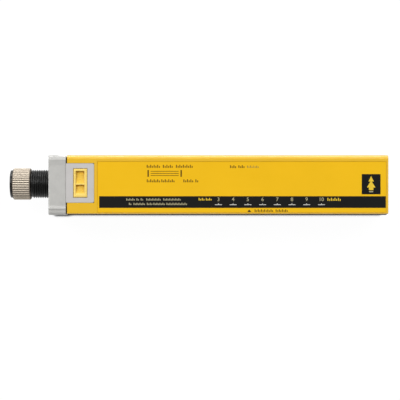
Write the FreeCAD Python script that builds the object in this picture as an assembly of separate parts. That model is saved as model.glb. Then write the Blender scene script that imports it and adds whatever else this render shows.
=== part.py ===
import FreeCAD
import Part
import math
import os

from FreeCAD import Vector

# Safety light curtain, short unit, with its round connector at the left end.
# Sizes are in millimetres. Pieces are built in bench places: X runs from the outer face of
# the end cap along the case, Y runs from the window to the back, H from the plain side to
# the label side, and Y and H are zero on the case's centre line. The last step moves every
# piece into the part's own frame, which stands under the middle of the whole unit.

# Case section
case_depth = 30.0
case_height = 30.0
back_edge_radius = 2.0
window_edge_radius = 0.6
far_edge_radius = 0.5
side_wall = 1.8
back_wall = 1.4

# Lengths along the case
cap_length = 8.75
gasket_thickness = 0.65
housing_length = 160.75

# Slot in the back for sliding nuts
slot_mouth = 6.5
slot_inner_width = 10.5
slot_lip = 1.8
slot_depth = 4.6

# Screws that hold both ends, with their bores in the case
port_from_back = 3.9
port_from_side = 5.4
port_bore_radius = 1.1
screw_radius = 1.0
screw_clearance = 0.4
screw_grip = 9.0
head_radius = 2.25
head_height = 2.5
head_clearance = 0.2
head_sink = 0.2
socket_radius = 1.15
socket_depth = 1.3

# Window and its seat
window_proud = 0.5
window_lip = 1.2
window_lip_reach = 1.8
window_thickness = 1.9
window_face_radius = 0.3
window_gap = 0.1
seal_thickness = 0.9
rib_thickness = 1.0
rib_reach = 1.0

# End cap
cap_back_radius = 2.0
cap_window_radius = 1.4
cap_face_sink = 0.3
cap_flange_length = 4.2
cap_relief = 0.6
rim_from_back_edge = 2.1
rim_ramp = 3.2
cap_end_radius = 0.4
bead_from_window_edge = 3.15
bead_ramp = 1.5
bead_drop = 0.75
bead_drop_height = 0.45
cap_end_wall = 3.5
cap_room_back = 0.05
cap_room_window = 2.55
cap_room_side = 2.5
spigot_length = 2.8
spigot_wall = 1.5
spigot_gap = 0.2
gasket_inset = 0.6

# How far a cut runs past a face, how far joined solids overlap, and the tolerance of a place
overshoot = 1.0
joint_overlap = 0.5
place_tolerance = 0.01

# Holes for a bracket at each end, tapped for 4 mm screws
bracket_hole_radius = 1.65
bracket_hole_depth = 6.0
cap_holes_from_window = 3.0
cap_holes_from_side = 5.5
plate_holes_from_side = 7.0
boss_radius = 3.2
boss_length = 2.9

# Setting port in the label side, with its grey frame and yellow cover
frame_width = 19.65
frame_length = 14.05
frame_offset = 1.0
frame_gap = 0.1
frame_corner_radius = 0.8
flange_reach = 1.0
flange_thickness = 1.1
cover_length = 7.0
cover_width = 14.5
cover_from_case = 6.6
cover_edge_radius = 0.6
cover_flange_reach = 0.7
cover_flange_thickness = 0.8
pocket_length = 4.35
pocket_shift = -0.1
pocket_depth = 1.6
upper_pocket_width = 6.85
lower_pocket_width = 4.75
pocket_rim = 1.25
pocket_scoop = 0.68

# Socket under the cover, on its own small board
socket_length = 5.4
socket_width = 10.6
socket_height = 3.6
socket_wall = 0.8
socket_floor = 1.2
socket_room = 0.8
contact_count = 5
contact_side = 0.5
contact_pitch = 1.6
contact_height = 1.6
port_board_length = 9.4
port_board_gap = 0.4

# Label in its shallow recess
label_from_case = 15.1
label_end_margin = 1.1
label_from_back = 3.15
label_from_window = 0.75
label_recess = 0.35
label_thickness = 0.25
label_gap = 0.1

# Round connector
connector_offset = 0.65
thread_radius = 6.95
thread_depth = 0.45
thread_pitch = 1.12
thread_count = 8
thread_crest_share = 0.35
cap_bore_radius = 6.6
barrel_wall_radius = 6.5
barrel_tail_radius = 6.3
barrel_tail = 4.5
shoulder_radius = 6.3
journal_radius = 5.7
ring_start = 10.1
ring_length = 9.0
ring_radius = 8.0
ring_clearance = 0.2
ring_chamfer = 0.5
flute_count = 42
flute_depth = 0.38
flute_share = 0.62
nose_radius = 7.0
nose_reach = 1.3
nose_edge_radius = 0.35
nose_edge_bulge = 0.1
nose_lip = 0.4
nose_seat_radius = 5.2
nose_seat_gap = 0.05
socket_bore_radius = 4.6
insert_gap = 0.05
insert_depth = 10.9
insert_tail = 3.0
key_radius = 0.6
key_depth = 2.0
pin_radius = 0.4
pin_gap = 0.05
pin_reach = 5.4
pin_circle_radius = 2.75
pin_ring_count = 7
pin_tip = 0.3
pin_tip_radius = 0.2
seal_ring_radius = 0.55
seal_ring_gap = 0.05
seal_groove_start = 1.1
seal_groove_width = 1.4
nut_across_flats = 15.4
nut_thickness = 2.5
nut_gap = 0.05
connector_board_thickness = 1.0

# Boards and optics inside the case
board_thickness = 1.6
board_gap = 0.2
board_spacing = 3.7
sheet_thickness = 0.25
sheet_gap = 0.05
emitter_board_room = 0.6
light_guide_length = 5.7
carrier_edge = 2.0
carrier_end_room = 0.85
carrier_flange_thickness = 1.6
carrier_gap = 0.1
carrier_side_gap = 0.2
beam_pitch = 15.0
beam_margin = 7.5
beam_mouth_radius = 5.6
beam_throat_radius = 1.9
lens_radius = 6.2
lens_rise = 1.7
lens_plate_thickness = 1.0
lens_plate_edge = 1.5
lens_plate_gap = 0.15
diode_radius = 1.5
diode_length = 1.6
light_guide_height = 6.0
light_guide_gap = 0.2
light_guide_clear = 0.3
indicator_count = 2
indicator_pitch = 2.4
indicator_side = 1.6
indicator_height = 1.2
header_length = 18.0
header_height = 5.0
header_from_ends = 22.0
chip_height = 1.4
chip_places = ((8.0, 4.0, 12.0, 12.0), (20.5, -4.0, 9.0, 9.0), (34.0, 3.0, 14.0, 8.0))
capacitor_radius = 2.4
capacitor_clearance = 0.3
capacitor_places = ((5.5, -6.0), (11.5, -6.0))
flex_width = 6.0
flex_thickness = 0.2
flex_start_offset = 1.5
flex_straight = 0.9
flex_turn = 60.0
flex_tail = 4.5

# End plate at the far end
plate_thickness = 2.0
plate_sink = 0.1
plate_rim = 1.0
plate_gap = 0.1
plate_gasket_thickness = 0.4
plate_head_depth = 1.5

# Places that follow from the sizes above
half_depth = case_depth / 2
half_height = case_height / 2
housing_start = cap_length + gasket_thickness
housing_end = housing_start + housing_length
connector_reach = ring_start + ring_length + nose_reach
total_length = connector_reach + housing_end
cap_face_x = connector_reach - total_length / 2

cavity_half = half_height - side_wall
slot_floor = half_depth - slot_depth
cavity_back = slot_floor - back_wall
case_front = -half_depth + window_proud
window_front = case_front + window_lip + window_gap
window_back = window_front + window_thickness
rib_front = window_back + seal_thickness
rib_back = rib_front + rib_thickness
window_half = cavity_half - window_gap
lip_half = cavity_half - window_lip_reach
rib_half = cavity_half - rib_reach

port_y = half_depth - port_from_back
port_h = half_height - port_from_side
clearance_hole_radius = screw_radius + screw_clearance
head_hole_radius = head_radius + head_clearance
head_hole_depth = head_height + head_sink

nut_half = nut_across_flats / 2
nut_corner = nut_across_flats / math.sqrt(3)
cap_cavity_back = connector_offset + nut_half + cap_room_back
cap_cavity_front = connector_offset - nut_half - cap_room_window
cap_cavity_half = nut_corner + cap_room_side
cap_hole_y = -half_depth + cap_holes_from_window
cap_hole_h = half_height - cap_holes_from_side
spigot_front = rib_back + spigot_gap
spigot_back = cavity_back - spigot_gap
flange_top = cavity_half - frame_gap
flange_bottom = flange_top - flange_thickness
cover_bottom = flange_bottom - cover_flange_thickness
spigot_top = cover_bottom - spigot_gap
spigot_bottom = -cavity_half + spigot_gap

cover_middle = housing_start + cover_from_case
cover_start = cover_middle - cover_length / 2
cover_end = cover_middle + cover_length / 2
cover_top_y = frame_offset + cover_width / 2
frame_start = cap_length + frame_gap / 2
frame_end = frame_start + frame_length
label_start = housing_start + label_from_case
port_board_start = housing_start + spigot_length + port_board_gap
socket_base = cover_bottom - socket_height
port_board_bottom = socket_base - board_thickness
emitter_board_start = port_board_start + port_board_length + emitter_board_room
carrier_start = emitter_board_start + light_guide_length

rebate_depth = plate_gasket_thickness + plate_thickness + plate_sink
rebate_start = housing_end - rebate_depth
plate_start = rebate_start + plate_gasket_thickness
plate_outer = plate_start + plate_thickness
plate_half_depth = half_depth - plate_rim
plate_half_height = half_height - plate_rim
plate_hole_h = half_height - plate_holes_from_side

sheet_back = cavity_back - sheet_gap
control_board_back = sheet_back - sheet_thickness
control_board_front = control_board_back - board_thickness
emitter_board_back = control_board_front - board_spacing
carrier_back = emitter_board_back - board_thickness
socket_middle = control_board_front - socket_room - socket_width / 2
carrier_front = rib_back + carrier_gap
carrier_end = plate_start - boss_length - carrier_end_room
lens_seat = carrier_front + lens_plate_thickness
board_half = cover_bottom - board_gap
first_header_x = emitter_board_start + header_from_ends
last_header_x = carrier_end - header_from_ends
chip_start = first_header_x + header_length / 2
carrier_half = board_half - carrier_edge
lens_plate_half = carrier_half - lens_plate_edge
beam_count = 1 + int((carrier_end - carrier_start - 2 * beam_margin) / beam_pitch)
first_beam = (carrier_start + carrier_end - (beam_count - 1) * beam_pitch) / 2

journal_start = ring_start - ring_clearance
nose_start = ring_start + ring_length + ring_clearance
barrel_end = connector_reach - nose_lip
ring_bore_radius = journal_radius + ring_clearance
insert_face = connector_reach - insert_depth
insert_back = cap_end_wall + insert_tail
connector_board_back = insert_back + connector_board_thickness


def block(x0, x1, y0, y1, h0, h1):
    """A box between two corners, in bench places."""
    return Part.makeBox(x1 - x0, y1 - y0, h1 - h0, Vector(x0, y0, h0))


def rod(x0, x1, radius, y=0.0, h=0.0):
    """A round bar along the case."""
    return Part.makeCylinder(radius, x1 - x0, Vector(x0, y, h), Vector(1, 0, 0))


def along_case(points, x0, x1):
    """A flat outline given as (y, h) points, drawn out from x0 to x1."""
    corners = [Vector(x0, y, h) for y, h in points]
    corners.append(corners[0])
    return Part.Face(Part.makePolygon(corners)).extrude(Vector(x1 - x0, 0, 0))


def turned(points):
    """A piece turned about the connector's axis, from (distance out of the cap, radius) points."""
    corners = [Vector(-out, connector_offset + radius, 0) for out, radius in points]
    corners.append(corners[0])
    outline = Part.Face(Part.makePolygon(corners))
    return outline.revolve(Vector(0, connector_offset, 0), Vector(1, 0, 0), 360)


def mirrored(outline):
    """A half outline above the centre line, closed with its mirror image below."""
    return outline + [(y, -h) for y, h in reversed(outline)]


def round_edges(shape, radius, wanted):
    """Round the edges whose middle point passes the test."""
    chosen = []
    for edge in shape.Edges:
        middle = edge.CenterOfMass
        if wanted(edge, middle):
            chosen.append(edge)
    return shape.makeFillet(radius, chosen)


def runs_along(edge, direction):
    """Whether a straight edge runs along a direction."""
    if not isinstance(edge.Curve, (Part.Line, Part.LineSegment)):
        return False
    run = edge.Vertexes[1].Point - edge.Vertexes[0].Point
    return abs(run.normalize().dot(direction)) > 0.999


def hexagon(x0, x1, circumradius, y, h):
    """A six-sided bar along the case, with two flats facing the window and the back."""
    points = []
    for corner in range(6):
        angle = math.radians(60 * corner)
        points.append((y + circumradius * math.sin(angle), h + circumradius * math.cos(angle)))
    return along_case(points, x0, x1)


def rounded_case(x0, x1, back_radius, window_radius):
    """A length of the case's outer section, with its four long edges rounded."""
    shape = block(x0, x1, case_front, half_depth, -half_height, half_height)
    along = Vector(1, 0, 0)
    shape = round_edges(shape, back_radius, lambda e, m: runs_along(e, along) and m.y > 0)
    return round_edges(
        shape,
        window_radius,
        lambda e, m: runs_along(e, along)
        and m.y < case_front + place_tolerance
        and abs(m.z) > half_height - place_tolerance,
    )


def slot_outline():
    """The section of the nut slot in the back, drawn past the back face."""
    return mirrored(
        [
            (half_depth + overshoot, slot_mouth / 2),
            (half_depth - slot_lip, slot_mouth / 2),
            (half_depth - slot_lip, slot_inner_width / 2),
            (slot_floor, slot_inner_width / 2),
        ]
    )


def cavity_outline():
    """The section of the room inside the case, with the window's groove and ribs."""
    lip_back = case_front + window_lip
    return mirrored(
        [
            (-half_depth - overshoot, lip_half),
            (lip_back, lip_half),
            (lip_back, cavity_half),
            (rib_front, cavity_half),
            (rib_front, rib_half),
            (rib_back, rib_half),
            (rib_back, cavity_half),
            (cavity_back, cavity_half),
        ]
    )


def make_housing():
    """The case: an extruded section with the port and label cut into its label side."""
    case = rounded_case(housing_start, housing_end, back_edge_radius, window_edge_radius)
    far_face = housing_end - place_tolerance
    case = round_edges(case, far_edge_radius, lambda e, m: m.x > far_face)
    x0 = housing_start - overshoot
    x1 = housing_end + overshoot
    case = case.cut(along_case(cavity_outline(), x0, x1))
    case = case.cut(along_case(slot_outline(), x0, x1))
    for h in (-port_h, port_h):
        case = case.cut(rod(x0, x1, port_bore_radius, port_y, h))
    half_frame = frame_width / 2 + frame_gap
    frame_opening = block(
        housing_start - overshoot,
        frame_end + frame_gap,
        frame_offset - half_frame,
        frame_offset + half_frame,
        flange_bottom - frame_gap,
        half_height + overshoot,
    )
    flange_room = block(
        housing_start - overshoot,
        frame_end + flange_reach + frame_gap,
        rib_back,
        frame_offset + half_frame + flange_reach,
        flange_bottom - frame_gap,
        cavity_half,
    )
    cover_room = block(
        housing_start - overshoot,
        cover_end + cover_flange_reach + frame_gap,
        rib_back,
        cover_top_y + cover_flange_reach + frame_gap / 2,
        cover_bottom - frame_gap,
        flange_bottom,
    )
    case = case.cut(frame_opening).cut(flange_room).cut(cover_room)
    case = case.cut(label_block(0.0, half_height - label_recess, half_height + overshoot))
    return case.cut(
        block(
            rebate_start,
            housing_end + overshoot,
            -plate_half_depth,
            plate_half_depth,
            -plate_half_height,
            plate_half_height,
        )
    )


def label_block(gap, h0, h1):
    """The label's field, drawn in by a gap on every side."""
    return block(
        label_start + gap,
        housing_end - label_end_margin - gap,
        case_front + label_from_window + gap,
        half_depth - label_from_back - gap,
        h0,
        h1,
    )


def make_side_label():
    """The printed film in its recess."""
    top = half_height - label_recess + label_thickness
    return label_block(label_gap, half_height - label_recess, top)


def cap_outline():
    """The cap's section: a lowered face on the label side, between a rim and a ramped bead."""
    face = half_height - cap_face_sink
    rim = half_depth - rim_from_back_edge
    bead_start = -half_depth + bead_from_window_edge + bead_ramp
    crest = bead_start - bead_ramp
    foot = crest - bead_drop
    return [
        (half_depth, -half_height),
        (half_depth, half_height),
        (rim, half_height),
        (rim - rim_ramp, face),
        (bead_start, face),
        (crest, half_height),
        (foot, half_height - bead_drop_height),
        (-half_depth, half_height - bead_drop_height),
        (-half_depth, -half_height),
    ]


def make_end_cap():
    """The die-cast cap that closes the connector end."""
    along = Vector(1, 0, 0)
    cap = along_case(cap_outline(), 0.0, cap_length)
    reach = half_depth - place_tolerance
    cap = round_edges(cap, cap_back_radius, lambda e, m: runs_along(e, along) and m.y > reach)
    cap = round_edges(cap, cap_window_radius, lambda e, m: runs_along(e, along) and m.y < -reach)
    relief = block(
        cap_flange_length,
        cap_length + overshoot,
        half_depth - cap_relief,
        half_depth + overshoot,
        -half_height,
        half_height,
    )
    cap = cap.cut(relief)
    cap = round_edges(cap, cap_end_radius, lambda e, m: abs(m.x) < place_tolerance)
    spigot = block(
        cap_length - overshoot,
        housing_start + spigot_length,
        spigot_front,
        spigot_back,
        spigot_bottom,
        spigot_top,
    )
    cap = cap.fuse(spigot).removeSplitter()
    cavity = block(
        cap_end_wall,
        cap_length,
        cap_cavity_front,
        cap_cavity_back,
        -cap_cavity_half,
        cap_cavity_half,
    )
    mouth = block(
        cap_length - overshoot,
        housing_start + spigot_length + overshoot,
        spigot_front + spigot_wall,
        spigot_back - spigot_wall,
        spigot_bottom + spigot_wall,
        spigot_top - spigot_wall,
    )
    cap = cap.cut(cavity).cut(mouth)
    cap = cap.cut(rod(-overshoot, cap_end_wall + overshoot, cap_bore_radius, connector_offset))
    for h in (-port_h, port_h):
        cap = cap.cut(rod(-overshoot, cap_length + overshoot, clearance_hole_radius, port_y, h))
        cap = cap.cut(rod(-overshoot, head_hole_depth, head_hole_radius, port_y, h))
    for h in (-cap_hole_h, cap_hole_h):
        cap = cap.cut(rod(-overshoot, bracket_hole_depth, bracket_hole_radius, cap_hole_y, h))
    return cap


def make_end_cap_gasket():
    """The flat gasket between the cap and the case."""
    x0 = cap_length
    x1 = housing_start
    reach_y = half_depth - gasket_inset
    reach_h = half_height - gasket_inset
    sheet = block(x0, x1, -reach_y, reach_y - cap_relief, -reach_h, reach_h)
    sheet = sheet.cut(
        block(
            x0,
            x1,
            spigot_front - spigot_gap,
            spigot_back + spigot_gap,
            spigot_bottom - spigot_gap,
            spigot_top + spigot_gap,
        )
    )
    half_frame = frame_width / 2 + frame_gap
    sheet = sheet.cut(
        block(x0, x1, frame_offset - half_frame, frame_offset + half_frame, spigot_top, half_height)
    )
    for h in (-port_h, port_h):
        sheet = sheet.cut(rod(x0, x1, clearance_hole_radius, port_y, h))
    return sheet


def cap_screw(h):
    """A socket head screw through the cap into the case."""
    head_start = head_sink
    head_end = head_start + head_height
    screw = rod(head_start, head_end, head_radius, port_y, h)
    screw = screw.fuse(rod(head_end - joint_overlap, housing_start + screw_grip, screw_radius, port_y, h))
    screw = screw.cut(hexagon(head_start - overshoot, head_start + socket_depth, socket_radius, port_y, h))
    return screw.removeSplitter()


def make_end_cap_screws():
    """Both screws of the end cap."""
    return [cap_screw(-port_h), cap_screw(port_h)]


def make_port_frame():
    """The grey frame let into the label side, from the cap to just before the label."""
    half_frame = frame_width / 2
    plate = block(
        frame_start,
        frame_end,
        frame_offset - half_frame,
        frame_offset + half_frame,
        flange_bottom,
        half_height,
    )
    up = Vector(0, 0, 1)
    plate = round_edges(
        plate, frame_corner_radius, lambda e, m: runs_along(e, up) and m.x > frame_end - place_tolerance
    )
    flange = block(
        housing_start + frame_gap,
        frame_end + flange_reach,
        rib_back + frame_gap,
        frame_offset + half_frame + flange_reach,
        flange_bottom,
        flange_top,
    )
    plate = plate.fuse(flange).removeSplitter()
    opening = block(
        cover_start - frame_gap,
        cover_end + frame_gap,
        frame_offset - cover_width / 2 - frame_gap,
        cover_top_y + frame_gap,
        flange_bottom - overshoot,
        half_height + overshoot,
    )
    return plate.cut(opening)


def ramped_pocket(y_top, width):
    """A scooped finger pocket, deep at its back end and running out flush towards the window."""
    x = cover_middle + pocket_shift - pocket_length / 2
    deep = Vector(x, y_top, half_height - pocket_depth)
    middle = Vector(x, y_top - width / 2, half_height - pocket_scoop * pocket_depth)
    flush = Vector(x, y_top - width, half_height)
    above_flush = flush + Vector(0, 0, overshoot)
    above_deep = Vector(x, y_top, half_height + overshoot)
    edges = [
        Part.Arc(deep, middle, flush).toShape(),
        Part.LineSegment(flush, above_flush).toShape(),
        Part.LineSegment(above_flush, above_deep).toShape(),
        Part.LineSegment(above_deep, deep).toShape(),
    ]
    return Part.Face(Part.Wire(edges)).extrude(Vector(pocket_length, 0, 0))


def make_port_cover():
    """The yellow cover of the setting port, with its two ramped pockets."""
    half_cover = cover_width / 2
    cover = block(
        cover_start,
        cover_end,
        frame_offset - half_cover,
        frame_offset + half_cover,
        cover_bottom,
        half_height,
    )
    cover = round_edges(cover, cover_edge_radius, lambda e, m: m.z > half_height - place_tolerance)
    flange = block(
        cover_start - cover_flange_reach,
        cover_end + cover_flange_reach,
        frame_offset - half_cover - cover_flange_reach,
        frame_offset + half_cover + cover_flange_reach,
        cover_bottom,
        flange_bottom,
    )
    cover = cover.fuse(flange).removeSplitter()
    upper_top = cover_top_y - pocket_rim
    lower_top = upper_top - upper_pocket_width
    cover = cover.cut(ramped_pocket(upper_top, upper_pocket_width))
    return cover.cut(ramped_pocket(lower_top, lower_pocket_width))


def make_port_socket():
    """The plug socket under the cover."""
    x0 = cover_middle - socket_length / 2
    y0 = socket_middle - socket_width / 2
    body = block(x0, x0 + socket_length, y0, y0 + socket_width, socket_base, cover_bottom)
    well = block(
        x0 + socket_wall,
        x0 + socket_length - socket_wall,
        y0 + socket_wall,
        y0 + socket_width - socket_wall,
        socket_base + socket_floor,
        cover_bottom + overshoot,
    )
    return body.cut(well)


def make_port_contacts():
    """The row of contacts standing on the socket's floor."""
    first = socket_middle - (contact_count - 1) * contact_pitch / 2
    half = contact_side / 2
    base = socket_base + socket_floor
    contacts = []
    for place in range(contact_count):
        y = first + place * contact_pitch
        x = cover_middle
        contacts.append(block(x - half, x + half, y - half, y + half, base, base + contact_height))
    return contacts


def make_port_board():
    """The small board that carries the socket, square against the control board."""
    return block(
        port_board_start,
        port_board_start + port_board_length,
        socket_middle - socket_width / 2 - socket_wall,
        control_board_front,
        port_board_bottom,
        socket_base,
    )


def make_front_window():
    """The dark window: it slides in the case's groove, and its face stands out between the lips."""
    plate = block(housing_start, rebate_start, window_front, window_back, -window_half, window_half)
    half = lip_half - window_gap
    inner = window_front + joint_overlap
    face = block(housing_start, rebate_start, -half_depth, inner, -half, half)
    tongue_end = housing_end - far_edge_radius
    tongue_back = -plate_half_depth - window_gap
    tongue = block(rebate_start - joint_overlap, tongue_end, -half_depth, tongue_back, -half, half)
    window = plate.fuse(face).fuse(tongue).removeSplitter()
    front = place_tolerance - half_depth
    return round_edges(window, window_face_radius, lambda e, m: m.y < front)


def make_window_seals():
    """The two sealing strips between the window's edges and the ribs."""
    inner = rib_half + window_gap
    outer = window_half
    upper = block(housing_start, rebate_start, window_back, rib_front, inner, outer)
    lower = block(housing_start, rebate_start, window_back, rib_front, -outer, -inner)
    return [upper, lower]


def beam_places():
    """Where each beam stands along the case."""
    return [first_beam + place * beam_pitch for place in range(beam_count)]


def make_optics_carrier():
    """The moulded carrier: a bar with one conical bore for each beam and two edge flanges."""
    reach = cavity_half - carrier_side_gap
    carrier = block(
        carrier_start, carrier_end, carrier_front, carrier_back, -carrier_half, carrier_half
    )
    flange = block(
        carrier_start,
        carrier_end,
        carrier_front,
        carrier_front + carrier_flange_thickness,
        -reach,
        reach,
    )
    carrier = carrier.fuse(flange).removeSplitter()
    seat = block(
        carrier_start + lens_plate_gap,
        carrier_end - lens_plate_gap,
        carrier_front - overshoot,
        lens_seat,
        -lens_plate_half - lens_plate_gap,
        lens_plate_half + lens_plate_gap,
    )
    carrier = carrier.cut(seat)
    for x in beam_places():
        depth = carrier_back - lens_seat
        bore = Part.makeCone(
            beam_mouth_radius, beam_throat_radius, depth, Vector(x, lens_seat, 0), Vector(0, 1, 0)
        )
        carrier = carrier.cut(bore)
    return carrier


def make_lens_strip():
    """The clear strip with one domed lens for each beam."""
    strip = block(
        carrier_start + 2 * lens_plate_gap,
        carrier_end - 2 * lens_plate_gap,
        carrier_front,
        lens_seat,
        -lens_plate_half,
        lens_plate_half,
    )
    sphere_radius = (lens_radius**2 + lens_rise**2) / (2 * lens_rise)
    centre_y = carrier_front - lens_rise + sphere_radius
    for x in beam_places():
        ball = Part.makeSphere(sphere_radius, Vector(x, centre_y, 0))
        front = block(
            x - lens_radius - overshoot,
            x + lens_radius + overshoot,
            carrier_front - lens_rise - overshoot,
            carrier_front + lens_plate_thickness / 2,
            -lens_plate_half,
            lens_plate_half,
        )
        disc = Part.makeCylinder(
            lens_radius,
            lens_rise + lens_plate_thickness,
            Vector(x, carrier_front - lens_rise, 0),
            Vector(0, 1, 0),
        )
        strip = strip.fuse(ball.common(front).common(disc))
    return strip.removeSplitter()


def make_emitter_board():
    """The board behind the carrier that holds the diodes."""
    return block(
        emitter_board_start, carrier_end, carrier_back, emitter_board_back, -board_half, board_half
    )


def make_infrared_diodes():
    """One round diode for each beam, standing in the throat of its bore."""
    diodes = []
    for x in beam_places():
        face = carrier_back - diode_length
        body = Part.makeCylinder(diode_radius, diode_length, Vector(x, face, 0), Vector(0, 1, 0))
        dome = Part.makeSphere(diode_radius, Vector(x, face, 0))
        diodes.append(body.fuse(dome).removeSplitter())
    return diodes


def indicator_places():
    """Where the indicator lamps stand along the case."""
    middle = (emitter_board_start + carrier_start) / 2
    first = middle - (indicator_count - 1) * indicator_pitch / 2
    return [first + place * indicator_pitch for place in range(indicator_count)]


def make_indicator_lamps():
    """The small lamps on the emitter board beside the carrier."""
    half = indicator_side / 2
    lamps = []
    for x in indicator_places():
        lamps.append(block(x - half, x + half, carrier_back - indicator_height, carrier_back, -half, half))
    return lamps


def make_light_guide():
    """The clear block that brings the lamps' light to the window."""
    half = light_guide_height / 2
    return block(
        emitter_board_start + light_guide_gap,
        carrier_start,
        window_back + light_guide_clear,
        carrier_back - indicator_height - light_guide_gap,
        -half,
        half,
    )


def make_control_board():
    """The long board along the back of the case."""
    return block(
        port_board_start,
        carrier_end,
        control_board_front,
        control_board_back,
        -board_half,
        board_half,
    )


def make_insulating_sheet():
    """The thin sheet between the control board and the metal case."""
    return block(port_board_start, carrier_end, control_board_back, sheet_back, -board_half, board_half)


def make_board_headers():
    """The two rows of contacts that join the boards."""
    half_length = header_length / 2
    half = header_height / 2
    headers = []
    for x in (first_header_x, last_header_x):
        headers.append(
            block(x - half_length, x + half_length, emitter_board_back, control_board_front, -half, half)
        )
    return headers


def make_board_parts():
    """The chips and capacitors on the control board's front."""
    parts = []
    for offset, h, length, height in chip_places:
        x = chip_start + offset
        parts.append(
            block(
                x - length / 2,
                x + length / 2,
                control_board_front - chip_height,
                control_board_front,
                h - height / 2,
                h + height / 2,
            )
        )
    height = board_spacing - capacitor_clearance
    for offset, h in capacitor_places:
        foot = Vector(emitter_board_start + offset, control_board_front - height, h)
        parts.append(Part.makeCylinder(capacitor_radius, height, foot, Vector(0, 1, 0)))
    return parts


def make_flex_cable():
    """The flat cable, in two opposite turns, from the connector's board to the control board."""
    low = connector_offset + flex_start_offset
    high = control_board_front - flex_thickness
    turn = math.radians(flex_turn)
    radius = (high - low) / (2 * (1 - math.cos(turn)))
    start = connector_board_back
    bend = start + flex_straight
    level = bend + 2 * radius * math.sin(turn)
    end = level + flex_tail

    def edge_line(rise):
        """One face of the cable: a straight, two arcs and a straight."""
        first_centre = Vector(bend, low + radius, 0)
        second_centre = Vector(level, high - radius, 0)
        first_radius = radius - rise
        second_radius = radius + rise
        first = arc(first_centre, first_radius, -90.0, -90.0 + flex_turn)
        second = arc(second_centre, second_radius, 90.0 + flex_turn, 90.0)
        lead = Part.LineSegment(Vector(start, low + rise, 0), Vector(bend, low + rise, 0)).toShape()
        tail = Part.LineSegment(Vector(level, high + rise, 0), Vector(end, high + rise, 0)).toShape()
        return [lead, first, second, tail]

    lower = edge_line(0.0)
    upper = edge_line(flex_thickness)
    close_start = Part.LineSegment(
        Vector(start, low, 0), Vector(start, low + flex_thickness, 0)
    ).toShape()
    close_end = Part.LineSegment(Vector(end, high, 0), Vector(end, high + flex_thickness, 0)).toShape()
    edges = Part.__sortEdges__(lower + upper + [close_start, close_end])
    face = Part.Face(Part.Wire(edges))
    face.translate(Vector(0, 0, -flex_width / 2))
    return face.extrude(Vector(0, 0, flex_width))


def arc(centre, radius, from_degrees, to_degrees):
    """An arc in the plane of X and Y, through its middle angle."""
    points = []
    for degrees in (from_degrees, (from_degrees + to_degrees) / 2, to_degrees):
        angle = math.radians(degrees)
        points.append(centre + Vector(radius * math.cos(angle), radius * math.sin(angle), 0))
    return Part.Arc(*points).toShape()


def thread_outline():
    """The crests and roots of the barrel's thread, from the cap outwards."""
    points = [(0.0, thread_radius - thread_depth)]
    half_crest = thread_crest_share * thread_pitch / 2
    for turn in range(thread_count):
        start = turn * thread_pitch
        points.append((start + thread_pitch / 2 - half_crest, thread_radius))
        points.append((start + thread_pitch / 2 + half_crest, thread_radius))
        points.append((start + thread_pitch, thread_radius - thread_depth))
    return points


def make_connector_barrel():
    """The black threaded barrel: tail and seal groove in the cap, thread, journal and nose seat."""
    groove_floor = cap_bore_radius - 2 * seal_ring_radius - 2 * seal_ring_gap
    groove_end = seal_groove_start + seal_groove_width
    outline = [
        (-cap_end_wall - barrel_tail, socket_bore_radius),
        (-cap_end_wall - barrel_tail, barrel_tail_radius),
        (-cap_end_wall, barrel_tail_radius),
        (-cap_end_wall, barrel_wall_radius),
        (-groove_end, barrel_wall_radius),
        (-groove_end, groove_floor),
        (-seal_groove_start, groove_floor),
        (-seal_groove_start, barrel_wall_radius),
        (0.0, barrel_wall_radius),
    ]
    outline = outline + thread_outline()
    outline = outline + [
        (thread_count * thread_pitch, shoulder_radius),
        (journal_start, shoulder_radius),
        (journal_start, journal_radius),
        (nose_start, journal_radius),
        (nose_start, nose_seat_radius),
        (barrel_end, nose_seat_radius),
        (barrel_end, socket_bore_radius),
    ]
    return turned(outline)


def make_connector_nose():
    """The black front sleeve that keeps the ring on the barrel."""
    seat = nose_seat_radius + nose_seat_gap
    edge = nose_edge_radius
    outline = [
        (nose_start, seat),
        (nose_start, nose_radius),
        (connector_reach - edge, nose_radius),
        (connector_reach - nose_edge_bulge, nose_radius - nose_edge_bulge),
        (connector_reach, nose_radius - edge),
        (connector_reach, socket_bore_radius),
        (barrel_end, socket_bore_radius),
        (barrel_end, seat),
    ]
    return turned(outline)


def make_coupling_ring():
    """The knurled ring: a chamfered blank with straight flutes, turning on the journal."""
    inner = ring_bore_radius
    ring_end = ring_start + ring_length
    blank = turned(
        [
            (ring_start, inner),
            (ring_start, ring_radius - ring_chamfer),
            (ring_start + ring_chamfer, ring_radius),
            (ring_end - ring_chamfer, ring_radius),
            (ring_end, ring_radius - ring_chamfer),
            (ring_end, inner),
        ]
    )
    step = 360.0 / flute_count
    points = []
    for flute in range(flute_count):
        for angle, radius in (
            (flute * step, ring_radius + place_tolerance),
            ((flute + flute_share) * step, ring_radius + place_tolerance),
            ((flute + (1 + flute_share) / 2) * step, ring_radius - flute_depth),
        ):
            turn = math.radians(angle)
            points.append((connector_offset + radius * math.cos(turn), radius * math.sin(turn)))
    fluted = along_case(points, -ring_end, -ring_start)
    return fluted.common(blank)


def pin_places():
    """Where the contact pins stand: one on the axis and a ring round it."""
    places = [(connector_offset, 0.0)]
    for pin in range(pin_ring_count):
        angle = math.radians(90 + 360.0 * (pin + 0.5) / pin_ring_count)
        y = connector_offset + pin_circle_radius * math.sin(angle)
        places.append((y, pin_circle_radius * math.cos(angle)))
    return places


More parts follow.
